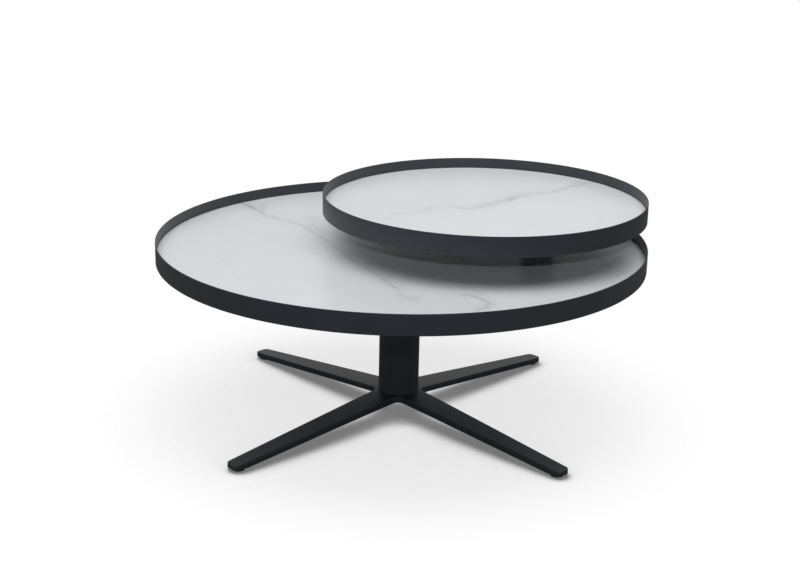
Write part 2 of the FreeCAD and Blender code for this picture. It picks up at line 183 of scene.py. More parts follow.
world = bpy.data.worlds.new("white_studio")
bpy.context.scene.world = world
world.use_nodes = True
sky = world.node_tree
sky.nodes.clear()


def seen_directly(tree, mirrored_white):
    """1 for rays that show the backdrop, straight, mirrored or through glass; and its white there."""
    path = place(tree, "LightPath").outputs
    mirrored = sum_of(tree, "MAXIMUM", path["Is Glossy Ray"], path["Is Transmission Ray"])
    paler = sum_of(tree, "MULTIPLY", mirrored, mirrored_white)
    direct = sum_of(tree, "MAXIMUM", path["Is Camera Ray"], mirrored)
    return direct, sum_of(tree, "MAXIMUM", path["Is Camera Ray"], paler)


sight = place(sky, "SeparateXYZ", {0: place(sky, "TexCoord").outputs["Generated"]}).outputs
rise = sum_of(sky, "MAXIMUM", sight["Z"], LOWEST_SIGHT)
squares = []
for side, centre, half in zip("XY", SOFTBOX_CENTRE, SOFTBOX_HALVES):
    on_ceiling = sum_of(sky, "DIVIDE", sight[side], rise)
    share = sum_of(sky, "DIVIDE", sum_of(sky, "SUBTRACT", on_ceiling, centre), half)
    squares.append(sum_of(sky, "MULTIPLY", share, share))
oval = sum_of(sky, "SQRT", sum_of(sky, "ADD", *squares))
cap = ramped(sky, oval, *SOFTBOX_FADE)
strength = sum_of(sky, "MULTIPLY", cap, SOFTBOX_LIGHT)
softbox = place(sky, "Background", {"Color": WHITE, "Strength": strength})
room = place(sky, "Background", {"Color": ROOM_COLOUR, "Strength": ROOM_LIGHT})
lit = place(sky, "AddShader", {0: softbox.outputs[0], 1: room.outputs[0]})
direct, backdrop = seen_directly(sky, ramped(sky, sight["Z"], *WALL_WASH, *MIRRORED_WALL))
white = place(sky, "Background", {"Color": WHITE, "Strength": backdrop})
shown = place(sky, "MixShader", {0: direct, 1: lit.outputs[0], 2: white.outputs[0]})
sky.links.new(shown.outputs[0], place(sky, "OutputWorld").inputs["Surface"])
print("world: softbox", SOFTBOX_LIGHT, "room", ROOM_LIGHT)

# %% [markdown]
# A second, small lamp stands just above the camera. It draws the one crisp line in the picture: the
# arc of shade under the small tray, and the level line high on the column.

# %% Front lamp
FRONT_LAMP_PLACE = Vector((0.0, -3.21, 1.561))
FRONT_LAMP_AIM = Vector((0.0, 0.0, 0.30))
FRONT_LAMP_SIDE = 0.05
FRONT_LAMP_POWER = 18.5
FRONT_LAMP_COLOUR = 0.94, 0.99, 1.08

lamp_data = bpy.data.lights.new("front_lamp", "AREA")
lamp_data.shape = "DISK"
lamp_data.size = FRONT_LAMP_SIDE
lamp_data.energy = FRONT_LAMP_POWER
lamp_data.color = FRONT_LAMP_COLOUR
lamp = bpy.data.objects.new("front_lamp", lamp_data)
lamp.location = FRONT_LAMP_PLACE
lamp.rotation_euler = (FRONT_LAMP_AIM - FRONT_LAMP_PLACE).to_track_quat("-Z", "Y").to_euler()
lamp.visible_camera = False
lamp.visible_glossy = False
bpy.context.scene.collection.objects.link(lamp)
print("front lamp:", FRONT_LAMP_POWER, "W")

# %% [markdown]
# The floor is a plain white sheet. Most of its white is given to the camera as it is, so it stays
# white to the horizon, and a little of it is real light. Ambient occlusion takes the given white away
# where the table keeps the light off: a pale even shade below the tray, and a darker one, with a
# soft edge, close under the arms. Each looks up along a line that leans a little, which moves its
# shade the other way: to the back below the tray, and to the front and the right under the arms.
# Mirror-like rays see a darker floor, because most of what they meet lies in the table's shade.

# %% Floor
FLOOR_HALF = 15.0
FLOOR_GIVEN_WHITE = 0.95
FLOOR_LIT_WHITE = 0.06
FLOOR_BOUNCE = 0.12
MIRRORED_FLOOR = 0.08
SHADE_SAMPLES = 12
TRAY_SHADE_REACH = 0.345
TRAY_SHADE = 0.835, 0.980, 0.818, 1.0
TRAY_SHADE_LEAN = Vector((0.08, -0.45, 1.0)).normalized()
ARM_SHADE_REACH = 0.06
ARM_SHADE = 0.49, 0.90, 0.232, 1.0
ARM_SHADE_LEAN = Vector((-0.25, 0.35, 1.0)).normalized()

floor_mesh = bpy.data.meshes.new("floor")
corners = [(-1, -1), (1, -1), (1, 1), (-1, 1)]
floor_mesh.from_pydata([(x * FLOOR_HALF, y * FLOOR_HALF, 0.0) for x, y in corners], [], [(0, 1, 2, 3)])
floor = bpy.data.objects.new("floor", floor_mesh)
bpy.context.scene.collection.objects.link(floor)
floor_white = bpy.data.materials.new("floor_white")
floor_white.use_nodes = True
sheet = floor_white.node_tree
sheet.nodes.clear()
shade = 1.0
for reach, limits, lean in (
    (TRAY_SHADE_REACH, TRAY_SHADE, TRAY_SHADE_LEAN),
    (ARM_SHADE_REACH, ARM_SHADE, ARM_SHADE_LEAN),
):
    look_up = place(sheet, "CombineXYZ", dict(enumerate(lean))).outputs[0]
    inputs = {"Distance": reach, "Normal": look_up}
    nearby = place(sheet, "AmbientOcclusion", inputs, samples=SHADE_SAMPLES)
    shade = sum_of(sheet, "MULTIPLY", ramped(sheet, nearby.outputs["AO"], *limits), shade)
direct, backdrop = seen_directly(sheet, MIRRORED_FLOOR)
lit_white = ramped(sheet, direct, 0.0, 1.0, FLOOR_BOUNCE, FLOOR_LIT_WHITE, smooth=False)
paper = place(sheet, "BsdfDiffuse", {"Color": sum_of(sheet, "MULTIPLY", lit_white, shade)})
given = sum_of(sheet, "MULTIPLY", sum_of(sheet, "MULTIPLY", backdrop, FLOOR_GIVEN_WHITE), shade)
glow = place(sheet, "Emission", {"Strength": given})
both = place(sheet, "AddShader", {0: paper.outputs[0], 1: glow.outputs[0]})
sheet.links.new(both.outputs[0], place(sheet, "OutputMaterial").inputs["Surface"])
floor_mesh.materials.append(floor_white)
print("floor:", FLOOR_HALF * 2, "m square")

# %% [markdown]
# ## Grain, an effect that most finishes share
# Powder coat, moulded nylon, rubber and faced board all have a fine grain that breaks up their gloss,
# and broad patches where the colour drifts a little. One group makes both from noise.

# %% Grain group
GRAIN_DETAIL, PATCH_DETAIL = 3.0, 2.0
GRAIN_SPREAD = 0.25, 0.75
PATCH_SPREAD = 0.30, 0.70

grain_tree, asked, given_out = new_group(
    "fine_grain",
    [
        ("Place", "Vector", (0.0, 0.0, 0.0)),
        ("Grain Size", "Float", 0.0005), ("Patch Size", "Float", 0.05),
    ],
    ["Grain", "Patches"],
)
for size_name, out_name, detail in (
    ("Grain Size", "Grain", GRAIN_DETAIL), ("Patch Size", "Patches", PATCH_DETAIL),
):
    per_metre = sum_of(grain_tree, "DIVIDE", 1.0, asked[size_name])
    inputs = {"Vector": asked["Place"], "Scale": per_metre, "Detail": detail}
    noise = place(grain_tree, "TexNoise", inputs)
    grain_tree.links.new(noise.outputs["Fac"], given_out[out_name])
print("group:", grain_tree.name)


def grained(tree, where, grain_size, patch_size):
    """Place the grain group in a finish."""
    inputs = {"Place": where, "Grain Size": grain_size, "Patch Size": patch_size}
    return place(tree, "Group", inputs, node_tree=grain_tree).outputs


def bumped(tree, shader, height, strength, distance):
    """Let a height stand up from the surface."""
    bump = place(tree, "Bump", {"Height": height, "Strength": strength, "Distance": distance})
    tree.links.new(bump.outputs[0], shader.inputs["Normal"])


# %% [markdown]
# ## Black powder coat
# Hoops, column, post and star base are steel under a satin powder coat: an anthracite that leans to
# blue, with a fine orange peel. All its gloss is in the coat layer, blurred, so the inner sides of the
# hoops take up a grey from the pale ceramic.

# %% Powder coat
COAT_DARK = (0.0190, 0.0220, 0.0288, 1.0)
COAT_LIGHT = (0.0214, 0.0248, 0.0324, 1.0)
COAT_ROUGHNESS = 0.50, 0.62
COAT_SHEEN = 1.0
COAT_SHEEN_ROUGHNESS = 0.42
COAT_SHEEN_IOR = 1.6
COAT_GRAIN, COAT_PATCH = 0.0009, 0.06
COAT_BUMP, COAT_PEEL = 0.18, 0.00008

powder_coat, tree, shader, where = new_finish("black_powder_coat")
grain = grained(tree, where, COAT_GRAIN, COAT_PATCH)
drift = ramped(tree, grain["Patches"], *PATCH_SPREAD)
tree.links.new(tinted(tree, drift, COAT_DARK, COAT_LIGHT), shader.inputs["Base Color"])
uneven = ramped(tree, grain["Grain"], *GRAIN_SPREAD, *COAT_ROUGHNESS)
tree.links.new(uneven, shader.inputs["Roughness"])
shader.inputs["Specular IOR Level"].default_value = 0.0
shader.inputs["Coat Weight"].default_value = COAT_SHEEN
shader.inputs["Coat Roughness"].default_value = COAT_SHEEN_ROUGHNESS
shader.inputs["Coat IOR"].default_value = COAT_SHEEN_IOR
bumped(tree, shader, grain["Grain"], COAT_BUMP, COAT_PEEL)
print("finish:", powder_coat.name)

# %% [markdown]
# ## Marble-look ceramic
# The inlays are sintered ceramic printed as white marble: a cool pale body with faint clouds, and a
# few thin grey veins that run across each top. A vein could be painted on an image, but drawn in the
# shader it stays crisp at any distance. Each vein is a chain of straight stretches; a noise bends
# the coordinates first, so the chain comes out as a natural line. A glaze lies over it as a coat
# layer. Seen at a flat angle it mirrors the pale wall behind, and the post stands dark in that.
# The place along a stretch is held between its ends by a maximum and a minimum. A clamped ramp would
# do the same, but the renderer works those out last and keeps all other numbers waiting, and with
# this many stretches it would run out of room and show the inlay black.

# %% Vein group
stretch_tree, asked, given_out = new_group(
    "vein_stretch",
    [
        ("Place", "Vector", (0.0, 0.0, 0.0)), ("From", "Vector", (0.0, 0.0, 0.0)),
        ("To", "Vector", (1.0, 0.0, 0.0)), ("Width", "Float", 0.001),
    ],
    ["Distance"],
)


def arrow(tree, operation, first, second):
    """One step of vector arithmetic."""
    return place(tree, "VectorMath", {0: first, 1: second}, operation=operation).outputs


def drawn_stretch(tree, asked, result):
    """Distance from a straight stretch, counted in widths of the vein."""
    along = arrow(tree, "SUBTRACT", asked["To"], asked["From"])[0]
    away = arrow(tree, "SUBTRACT", asked["Place"], asked["From"])[0]
    reach = arrow(tree, "DOT_PRODUCT", away, along)["Value"]
    square = arrow(tree, "DOT_PRODUCT", along, along)["Value"]
    beyond_start = sum_of(tree, "MAXIMUM", sum_of(tree, "DIVIDE", reach, square), 0.0)
    share = sum_of(tree, "MINIMUM", beyond_start, 1.0)
    nearest = place(tree, "VectorMath", {0: along, "Scale": share}, operation="SCALE").outputs[0]
    gap = arrow(tree, "DISTANCE", away, nearest)["Value"]
    tree.links.new(sum_of(tree, "DIVIDE", gap, asked["Width"]), result["Distance"])


drawn_stretch(stretch_tree, asked, given_out)
print("group:", stretch_tree.name)

# %% [markdown]
# The veins are read off the picture, as columns and rows of pixels, and carried on to the
# ceramic along the camera's sight lines. A vein has a width in millimetres and a strength.

# %% Veins
UPPER_VEINS = [
    ([(367, 218), (380, 218.5), (390, 218.5)], 7, 0.18),
    ([(391, 213.5), (402, 213), (415, 212.5), (421, 212)], 8, 0.18),
    ([(400, 213), (418, 211), (432, 208)], 22, 0.10),
    ([(421, 212.5), (426, 210), (430, 207.5), (442, 207), (450, 206.5)], 8, 0.27),
    ([(450, 206.5), (460, 207.5), (470, 207.5), (480, 205.5)], 7, 0.36),
    ([(480, 205.5), (486, 203.8), (495, 202), (505, 200), (517, 197.5), (527, 194.5)], 8, 0.50),
    ([(527, 194.5), (538, 193.5), (550, 192.5), (560, 190)], 7, 0.44),
    ([(560, 190), (572, 186.5), (585, 183.5), (593, 182)], 7, 0.42),
    ([(460, 208), (470, 209), (482, 207.5), (492, 205), (505, 202.5), (515, 199)], 7, 0.36),
    ([(505, 200), (514, 196), (520, 193.5), (532, 193)], 6, 0.28),
    ([(505, 199), (517, 196), (527, 194)], 18, 0.16),
    ([(572, 184.5), (582, 181), (590, 181)], 6, 0.20),
    ([(600, 219), (605, 217.5)], 5, 0.10),
]
LOWER_VEINS = [
    ([(242, 203), (247, 205), (255, 208.8)], 8, 0.70),
    ([(255, 208.8), (261, 212.5), (266, 216)], 7, 0.52),
    ([(266, 216), (272, 216.3), (278, 218.8), (287, 220.3), (292, 222.5)], 6, 0.42),
    ([(292, 222.5), (299, 224), (305, 226.5), (309, 230)], 6, 0.50),
    ([(309, 230), (316, 234.4), (324, 239), (335, 247)], 7, 0.40),
    ([(335, 247), (352, 260), (372, 272), (383, 279)], 6, 0.34),
    ([(383, 279), (390, 284.5), (395.5, 288)], 7, 0.62),
    ([(397.5, 288), (399, 292), (405, 297), (412, 299), (417, 298)], 6, 0.36),
    ([(397.5, 295.5), (405, 297), (412, 300), (417, 302)], 5, 0.34),
    ([(412, 300), (417, 296)], 10, 0.14),
    ([(465, 294.5), (472, 296.3), (480, 298.3), (486, 301), (490, 303)], 6, 0.56),
    ([(490, 303), (496, 305.5)], 5, 0.30),
    ([(488, 303), (486, 307.5), (481, 309.5), (477, 310.5)], 8, 0.46),
    ([(247, 205), (255, 206.9), (260, 207.5)], 6, 0.36),
    ([(263, 205), (262, 208), (260, 212)], 12, 0.26),
    ([(310, 226.5), (312, 224.4), (315, 223)], 5, 0.38),
    ([(311, 227), (315, 228), (319, 229.4)], 5, 0.44),
    ([(311, 218), (313.5, 216), (315.5, 220)], 7, 0.24),
    ([(310, 219), (314, 226), (318, 231)], 26, 0.12),
    ([(319, 229.5), (326, 234)], 10, 0.26),
    ([(188, 240.5), (192.5, 240.8), (198, 243.5)], 5, 0.13),
    ([(197, 254.5), (200, 255)], 6, 0.15),
    ([(217, 256), (224, 261), (230, 266), (231, 270.5), (237, 278.8)], 6, 0.07),
    ([(237, 278.8), (247, 280.6), (259, 282), (268, 286), (275, 287.5)], 6, 0.08),
    ([(612, 277.5), (622, 275)], 6, 0.16),
    # The last stretch is a faint, wide dark streak along the edge of the small tray's shadow.
    ([(599, 257.5), (605.5, 263), (613, 268.5), (622.5, 272.8)], 13, 0.26),
]
# Painted light: both inlays are one ceramic, and the upper body is set lighter than the lower so that
# both tops come out equally bright.
UPPER_BODY_PAINTED_LIGHTER = (0.850, 0.866, 0.878, 1.0), (0.815, 0.832, 0.846, 1.0)
LOWER_BODY = (0.797, 0.814, 0.825, 1.0), (0.765, 0.782, 0.795, 1.0)
VEIN_GREY = (0.330, 0.325, 0.330, 1.0)
CERAMIC_ROUGHNESS = 0.29, 0.35
CERAMIC_GLOSS = 0.40
GLAZE_WEIGHT = 0.68
GLAZE_ROUGHNESS = 0.28
GLAZE_IOR = 1.5
GLAZE_GRAIN, GLAZE_PATCH = 0.0015, 0.30
CLOUD_SCALE, CLOUD_SWIRL = 5.0, 0.6
CLOUD_SPREAD = 0.38, 0.72
BREAK_SCALE = 60.0
BREAKS = 0.35, 0.65, 0.40, 1.0
FLECK_SCALE = 110.0
FLECKS = 0.40, 0.62, 0.05, 0.34
VEIN_SWAYS = (30.0, 0.006), (140.0, 0.003)
HAZE_WIDTH = 4.0
FAR_AWAY = 1000.0
MID_NOISE = 0.5, 0.5, 0.5
MILLIMETRE = 0.001


def bent_place(tree, where):
    """Coordinates bent by a broad and a fine noise, so that straight stretches wander."""
    for scale, sway in VEIN_SWAYS:
        noise = place(tree, "TexNoise", {"Vector": where, "Scale": scale, "Detail": 3.0})
        centred = arrow(tree, "SUBTRACT", noise.outputs["Color"], MID_NOISE)[0]
        shift = place(tree, "VectorMath", {0: centred, "Scale": sway}, operation="SCALE").outputs[0]
        where = arrow(tree, "ADD", where, shift)[0]
    return where


def vein_marks(tree, where, veins, height):
    """Two shares over the surface: the fine lines of the veins, and the soft haze beside them."""
    line, haze = 0.0, 0.0
    for points, width, strength in veins:
        spots = [on_level(column, row, height) for column, row in points]
        nearest = FAR_AWAY
        for start, end in zip(spots, spots[1:]):
            inputs = {"Place": where, "From": start, "To": end, "Width": width * MILLIMETRE}
            stretch = place(tree, "Group", inputs, node_tree=stretch_tree)
            nearest = sum_of(tree, "MINIMUM", stretch.outputs["Distance"], nearest)
        line = sum_of(tree, "MAXIMUM", ramped(tree, nearest, 0.0, 1.0, strength, 0.0), line)
        haze = sum_of(tree, "MAXIMUM", ramped(tree, nearest, 0.0, HAZE_WIDTH, strength, 0.0), haze)
    return line, haze


def marble_ceramic(name, veins, height, tones):
    """One top's ceramic: pale body, clouds, veins and a semi-gloss glaze."""
    finish, tree, shader, where = new_finish(name)
    inputs = {"Vector": where, "Scale": CLOUD_SCALE, "Detail": 2.0, "Distortion": CLOUD_SWIRL}
    cloud = place(tree, "TexNoise", inputs)
    body = tinted(tree, ramped(tree, cloud.outputs["Fac"], *CLOUD_SPREAD), *tones)
    line, haze = vein_marks(tree, bent_place(tree, where), veins, height)
    patchy = place(tree, "TexNoise", {"Vector": where, "Scale": BREAK_SCALE, "Detail": 4.0})
    broken = ramped(tree, patchy.outputs["Fac"], *BREAKS)
    flecks = place(tree, "TexNoise", {"Vector": where, "Scale": FLECK_SCALE, "Detail": 4.0})
    cloudy = ramped(tree, flecks.outputs["Fac"], *FLECKS)
    hazy = tinted(tree, sum_of(tree, "MULTIPLY", haze, cloudy), body, VEIN_GREY)
    veined = tinted(tree, sum_of(tree, "MULTIPLY", line, broken), hazy, VEIN_GREY)
    tree.links.new(veined, shader.inputs["Base Color"])
    glaze = grained(tree, where, GLAZE_GRAIN, GLAZE_PATCH)
    uneven = ramped(tree, glaze["Patches"], *PATCH_SPREAD, *CERAMIC_ROUGHNESS)
    tree.links.new(uneven, shader.inputs["Roughness"])
    shader.inputs["Specular IOR Level"].default_value = CERAMIC_GLOSS
    shader.inputs["Coat Weight"].default_value = GLAZE_WEIGHT
    shader.inputs["Coat Roughness"].default_value = GLAZE_ROUGHNESS
    shader.inputs["Coat IOR"].default_value = GLAZE_IOR
    print("finish:", name, len(veins), "veins")
    return finish


lower_height, upper_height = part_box("lower_ceramic_top")[1].z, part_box("upper_ceramic_top")[1].z
lower_marble = marble_ceramic("lower_marble_ceramic", LOWER_VEINS, lower_height, LOWER_BODY)
upper_marble = marble_ceramic("upper_marble_ceramic", UPPER_VEINS, upper_height, UPPER_BODY_PAINTED_LIGHTER)

# %% [markdown]
# ## Finishes of the hidden pieces
# Underneath there are black-faced boards, zinc-plated screws, nylon bearings and glides, and a rubber
# ring round the post. They show when the table is looked at from low down.

# %% Board, zinc, nylon and rubber
PATCH_PER_GRAIN = 40.0
PLAIN_BUMP_DEPTH = 0.0002


def plain_finish(name, dark, light, roughness, gloss, grain_size, bump, metallic=0.0):
    """A finish that is grain and drift of colour only."""
    finish, tree, shader, where = new_finish(name)
    grain = grained(tree, where, grain_size, grain_size * PATCH_PER_GRAIN)
    drift = ramped(tree, grain["Patches"], *PATCH_SPREAD)
    tree.links.new(tinted(tree, drift, (*dark, 1.0), (*light, 1.0)), shader.inputs["Base Color"])
    uneven = ramped(tree, grain["Grain"], *GRAIN_SPREAD, *roughness)
    tree.links.new(uneven, shader.inputs["Roughness"])
    shader.inputs["Specular IOR Level"].default_value = gloss
    shader.inputs["Metallic"].default_value = metallic
    bumped(tree, shader, grain["Grain"], bump, PLAIN_BUMP_DEPTH)
    print("finish:", name)
    return finish


black_board = plain_finish(
    "black_faced_board", dark=(0.030, 0.030, 0.031), light=(0.042, 0.042, 0.043),
    roughness=(0.50, 0.66), gloss=0.25, grain_size=0.0016, bump=0.25)
zinc_plate = plain_finish(
    "zinc_plate", dark=(0.48, 0.49, 0.50), light=(0.62, 0.62, 0.61),
    roughness=(0.28, 0.42), gloss=0.5, grain_size=0.0010, bump=0.10, metallic=1.0)
black_nylon = plain_finish(
    "black_nylon", dark=(0.022, 0.022, 0.023), light=(0.032, 0.032, 0.033),
    roughness=(0.42, 0.58), gloss=0.3, grain_size=0.0006, bump=0.15)
black_rubber = plain_finish(
    "black_rubber", dark=(0.018, 0.018, 0.018), light=(0.026, 0.026, 0.026),
    roughness=(0.62, 0.78), gloss=0.2, grain_size=0.0005, bump=0.20)
FINISH_OF_SLOT = {
    "black_powder_coat": powder_coat, "dark_board": black_board, "zinc_steel": zinc_plate,
    "black_nylon": black_nylon, "black_rubber": black_rubber,
}
for part in frame["record"]["subparts"]:
    finish = FINISH_OF_SLOT.get(part["material_slot"])
    for material_slot in nodes[part["node"]].material_slots if finish else ():
        material_slot.material = finish
print("solid nodes dressed")

# %% [markdown]
# ## Turned pieces
# Hoops, inlays, column and post are all turned shapes. The solid model has them in a limited number
# of facets, so they are made again here with a fine count of steps and with corners that are rounded
# as bent steel and ground ceramic are. Every size is measured on the solid that the piece replaces.

# %% Turning helpers
TURN_STEPS = 256
CORNER_PARTS = 5
SHARP_ANGLE = math.radians(40)


def measured(node):
    """Axis, outer and inner radius, foot and top of a round node."""
    low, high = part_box(node)
    axis = Vector(((low.x + high.x) / 2, (low.y + high.y) / 2, 0.0))
    radii = [(vertex.co.xy - axis.xy).length for vertex in nodes[node].data.vertices]
    return axis, max(radii), min(radii), low.z, high.z


def rounded_corners(corners, *radii):
    """Replace each corner of a closed outline by an arc, of one radius or of its own."""
    outline = []
    for index, corner in enumerate(corners):
        radius = radii[index % len(radii)]
        here = Vector(corner)
        back = (Vector(corners[index - 1]) - here).normalized()
        on = (Vector(corners[(index + 1) % len(corners)]) - here).normalized()
        half = back.angle(on) / 2
        centre = here + (back + on).normalized() * (radius / math.sin(half))
        first = (here + back * (radius / math.tan(half)) - centre).normalized()
        last = (here + on * (radius / math.tan(half)) - centre).normalized()
        for part in range(CORNER_PARTS + 1):
            outline.append(centre + first.slerp(last, part / CORNER_PARTS) * radius)
    return outline


def new_piece(name, mesh_maker, finish, body, node):
    """Turn a bmesh into a piece that wears a finish, rides on a body and stands for a node."""
    mesh = bpy.data.meshes.new(name)
    mesh_maker.normal_update()
    bmesh.ops.recalc_face_normals(mesh_maker, faces=mesh_maker.faces)
    mesh_maker.to_mesh(mesh)
    mesh_maker.free()
    mesh.materials.append(finish)
    mesh.shade_smooth()
    mesh.set_sharp_from_angle(angle=SHARP_ANGLE)
    piece = bpy.data.objects.new(name, mesh)
    bpy.context.scene.collection.objects.link(piece)
    even = piece.modifiers.new("even_normals", "WEIGHTED_NORMAL")
    even.keep_sharp = True
    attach(piece, body)
    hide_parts(node)
    print("piece:", name, len(mesh.polygons), "faces")
    return piece


def circle(axis, radius, steps=TURN_STEPS):
    """Points of a circle in plan."""
    angles = [2 * math.pi * step / steps for step in range(steps)]
    return [(axis.x + radius * math.cos(angle), axis.y + radius * math.sin(angle)) for angle in angles]


def level_loop(maker, outline, height):
    """Lay an outline down at a height."""
    return [maker.verts.new((x, y, height)) for x, y in outline]


def joined(maker, first, second):
    """Faces between two loops of equal count."""
    for step in range(len(first)):
        following = (step + 1) % len(first)
        maker.faces.new((first[step], first[following], second[following], second[step]))


def turned(maker, axis, outline, steps=TURN_STEPS):
    """Add a closed ring shape, from its outline of radius and height."""
    loops = [level_loop(maker, circle(axis, point[0], steps), point[1]) for point in outline]
    for first, second in zip(loops, loops[1:] + loops[:1]):
        joined(maker, first, second)
    return maker


def stacked(levels):
    """A closed solid from flat outlines of equal count, one above another."""
    maker = bmesh.new()
    loops = [level_loop(maker, outline, height) for outline, height in levels]
    for first, second in zip(loops, loops[1:]):
        joined(maker, first, second)
    maker.faces.new(loops[0])
    maker.faces.new(loops[-1])
    return maker


# %% [markdown]
# A hoop is a flat steel bar, bent round and welded end to end. Its corners are broken by less than a
# millimetre; the coat rounds them a little more, and that edge catches a thin line of light.

# %% Hoops and column
HOOP_CORNER = 0.0007
COLUMN_CORNER = 0.0006
POST_CORNER = 0.0008


def pipe(name, node, corner, body, finish=powder_coat):
    """A hoop, tube or washer of the solid's own size, with rounded corners."""
    axis, outer, inner, foot, top = measured(node)
    outline = rounded_corners([(inner, foot), (outer, foot), (outer, top), (inner, top)], corner)
    return new_piece(name, turned(bmesh.new(), axis, outline), finish, body, node)


pipe("lower_hoop", "lower_rim", HOOP_CORNER, "base")
pipe("upper_hoop", "upper_rim", HOOP_CORNER, "upper_top")
pipe("column", "column_tube", COLUMN_CORNER, "base")
pipe("post", "post_sleeve", POST_CORNER, "base")

# %% [markdown]
# An inlay is a ceramic disc with a ground edge. The lower one has a hole where the post comes
# through. Its faces run from the hole's edge to the rim of the disc, ring to ring.

# %% Ceramic inlays
INLAY_EDGE = 0.0008


def eased_edge(top):
    """A quarter round from a wall into a top face, as steps inward and heights."""
    turns = [math.pi / 2 * part / CORNER_PARTS for part in range(CORNER_PARTS + 1)]
    falls = [(1 - math.cos(turn), 1 - math.sin(turn)) for turn in turns]
    return [(INLAY_EDGE * inward, top - INLAY_EDGE * down) for inward, down in falls]


def whole_disc(name, node, finish, body):
    """A disc with a ground edge."""
    axis, outer, _, foot, top = measured(node)
    levels = [(circle(axis, outer), foot)]
    levels += [(circle(axis, outer - inward), height) for inward, height in eased_edge(top)]
    return new_piece(name, stacked(levels), finish, body, node)


def holed_disc(name, node, finish, body, hole_axis):
    """A disc with a ground edge, and a hole off its centre with the same edge."""
    axis, outer, _, foot, top = measured(node)
    hole_radius = min((vertex.co.xy - hole_axis.xy).length for vertex in nodes[node].data.vertices)
    maker = bmesh.new()
    rim = [level_loop(maker, circle(axis, outer), foot)]
    hole = [level_loop(maker, circle(hole_axis, hole_radius), foot)]
    for inward, height in eased_edge(top):
        rim.append(level_loop(maker, circle(axis, outer - inward), height))
        hole.append(level_loop(maker, circle(hole_axis, hole_radius + inward), height))
    for loops in (rim, hole):
        for first, second in zip(loops, loops[1:]):
            joined(maker, first, second)
    joined(maker, rim[-1], hole[-1])
    joined(maker, rim[0], hole[0])
    return new_piece(name, maker, finish, body, node)


holed_disc("lower_inlay", "lower_ceramic_top", lower_marble, "base", measured("post_sleeve")[0])
whole_disc("upper_inlay", "upper_ceramic_top", upper_marble, "upper_top")

# %% [markdown]
# ## Rings round the post
# A rubber ring closes the joint between post and ceramic. A nylon washer carries the upper tray on
# the post, and another with a steel washer below the plate keeps the spindle from lifting out.

# %% Rings and washers
RING_CORNER = 0.0009
WASHER_CORNER = 0.0003

pipe("post_ring", "post_collar", RING_CORNER, "base", black_rubber)
pipe("thrust_ring", "thrust_washer", WASHER_CORNER, "base", black_nylon)
pipe("friction_ring", "friction_washer", WASHER_CORNER, "upper_top", black_nylon)
pipe("keeper_washer", "retaining_washer", WASHER_CORNER, "upper_top", zinc_plate)

# %% [markdown]
# ## Screws and bolts
# The solid model has plain screw heads. A real pan head is domed and has a cross recess, and the bolts
# under the base have a hexagon socket. One of each kind is made, its recess is cut out with a
# boolean modifier, and a copy is set at each place where the solid has one, each turned a little
# further, as screws are when they are driven home.

# %% Places of the solid's copies
SCREW_STEPS = 32
PAD_STEPS = SCREW_STEPS * 2
SCREW_SPREAD, BOLT_SPREAD, WASHER_SPREAD = 0.012, 0.014, 0.017
GLIDE_SPREAD, KEEPER_SPREAD = 0.025, 0.030
ORIGIN = Vector((0.0, 0.0, 0.0))


def copies_of(node, spread):
    """The copies in a node: for each, its axis, and its points as radius and height."""
    groups = []
    for vertex in nodes[node].data.vertices:
        near = (group for group in groups if (group[0] / len(group[1]) - vertex.co).xy.length < spread)
        group = next(near, None)
        if group is None:
            group = [Vector(), []]
            groups.append(group)
        group[0] += vertex.co
        group[1].append(vertex.co)
    copies = []
    for _, points in groups:
        middle = [(min(values) + max(values)) / 2 for values in zip(*points)]
        axis = Vector((middle[0], middle[1], 0.0))
        copies.append((axis, [((point - axis).xy.length, point.z) for point in points]))
    return copies


def head_sizes(points):
    """Foot, shoulder and top of a screw that stands head down, and the radii of head and shank."""
    foot = min(height for _, height in points)
    top = max(height for _, height in points)
    shank = max(radius for radius, height in points if height > top - MILLIMETRE)
    head = max(radius for radius, _ in points)
    shoulder = max(height for radius, height in points if radius > (head + shank) / 2)
    return foot, shoulder, top, head, shank


print("glides:", len(copies_of("floor_glides", GLIDE_SPREAD)), "places")

# %% [markdown]
# A recess is cut by a second solid, and both are thrown away once the cut shape is kept as a mesh.
# All copies go into one piece, because the solid model has them in one node.

# %% Cutting and copying
DRIVEN_TURN = math.radians(137.5)


def loose_object(name, maker):
    """A bmesh as an object that is only needed for a while."""
    mesh = bpy.data.meshes.new(name)
    bmesh.ops.recalc_face_normals(maker, faces=maker.faces)
    maker.to_mesh(mesh)
    maker.free()
    made = bpy.data.objects.new(name, mesh)
    bpy.context.scene.collection.objects.link(made)
    return made


def cut_out(solid, tool):
    """One bmesh less another, as a mesh."""
    body, cutter = loose_object("uncut", solid), loose_object("cutter", tool)
    cut = body.modifiers.new("recess", "BOOLEAN")
    cut.object = cutter
    cut.solver = "EXACT"
    result = bpy.data.meshes.new_from_object(body.evaluated_get(bpy.context.evaluated_depsgraph_get()))
    for used in (body, cutter):
        bpy.data.objects.remove(used)
    return result


def set_of(name, node, mesh, axes, finish, body):
    """Copies of a mesh at the given axes, each turned further than the last, as one piece."""
    maker = bmesh.new()
    for index, axis in enumerate(axes):
        before = len(maker.verts)
        maker.from_mesh(mesh)
        maker.verts.ensure_lookup_table()
        spin = Matrix.Rotation(DRIVEN_TURN * index, 4, "Z")
        bmesh.ops.transform(maker, matrix=Matrix.Translation(axis) @ spin, verts=maker.verts[before:])
    return new_piece(name, maker, finish, body, node)


print("cutting helpers ready")

# %% [markdown]
# The dome of a pan head is a quarter of an oval round a small flat, and the cross recess narrows
# towards its bottom. The screws stand head down, because all of them are driven from below.

# %% Pan-head screws
CROWN_FLAT, CROWN_HEIGHT = 0.25, 0.65
POINT_SHARE = 0.25
CROSS_REACH, CROSS_WING, CROSS_DEPTH, CROSS_TAPER = 0.56, 0.13, 0.55, 0.5


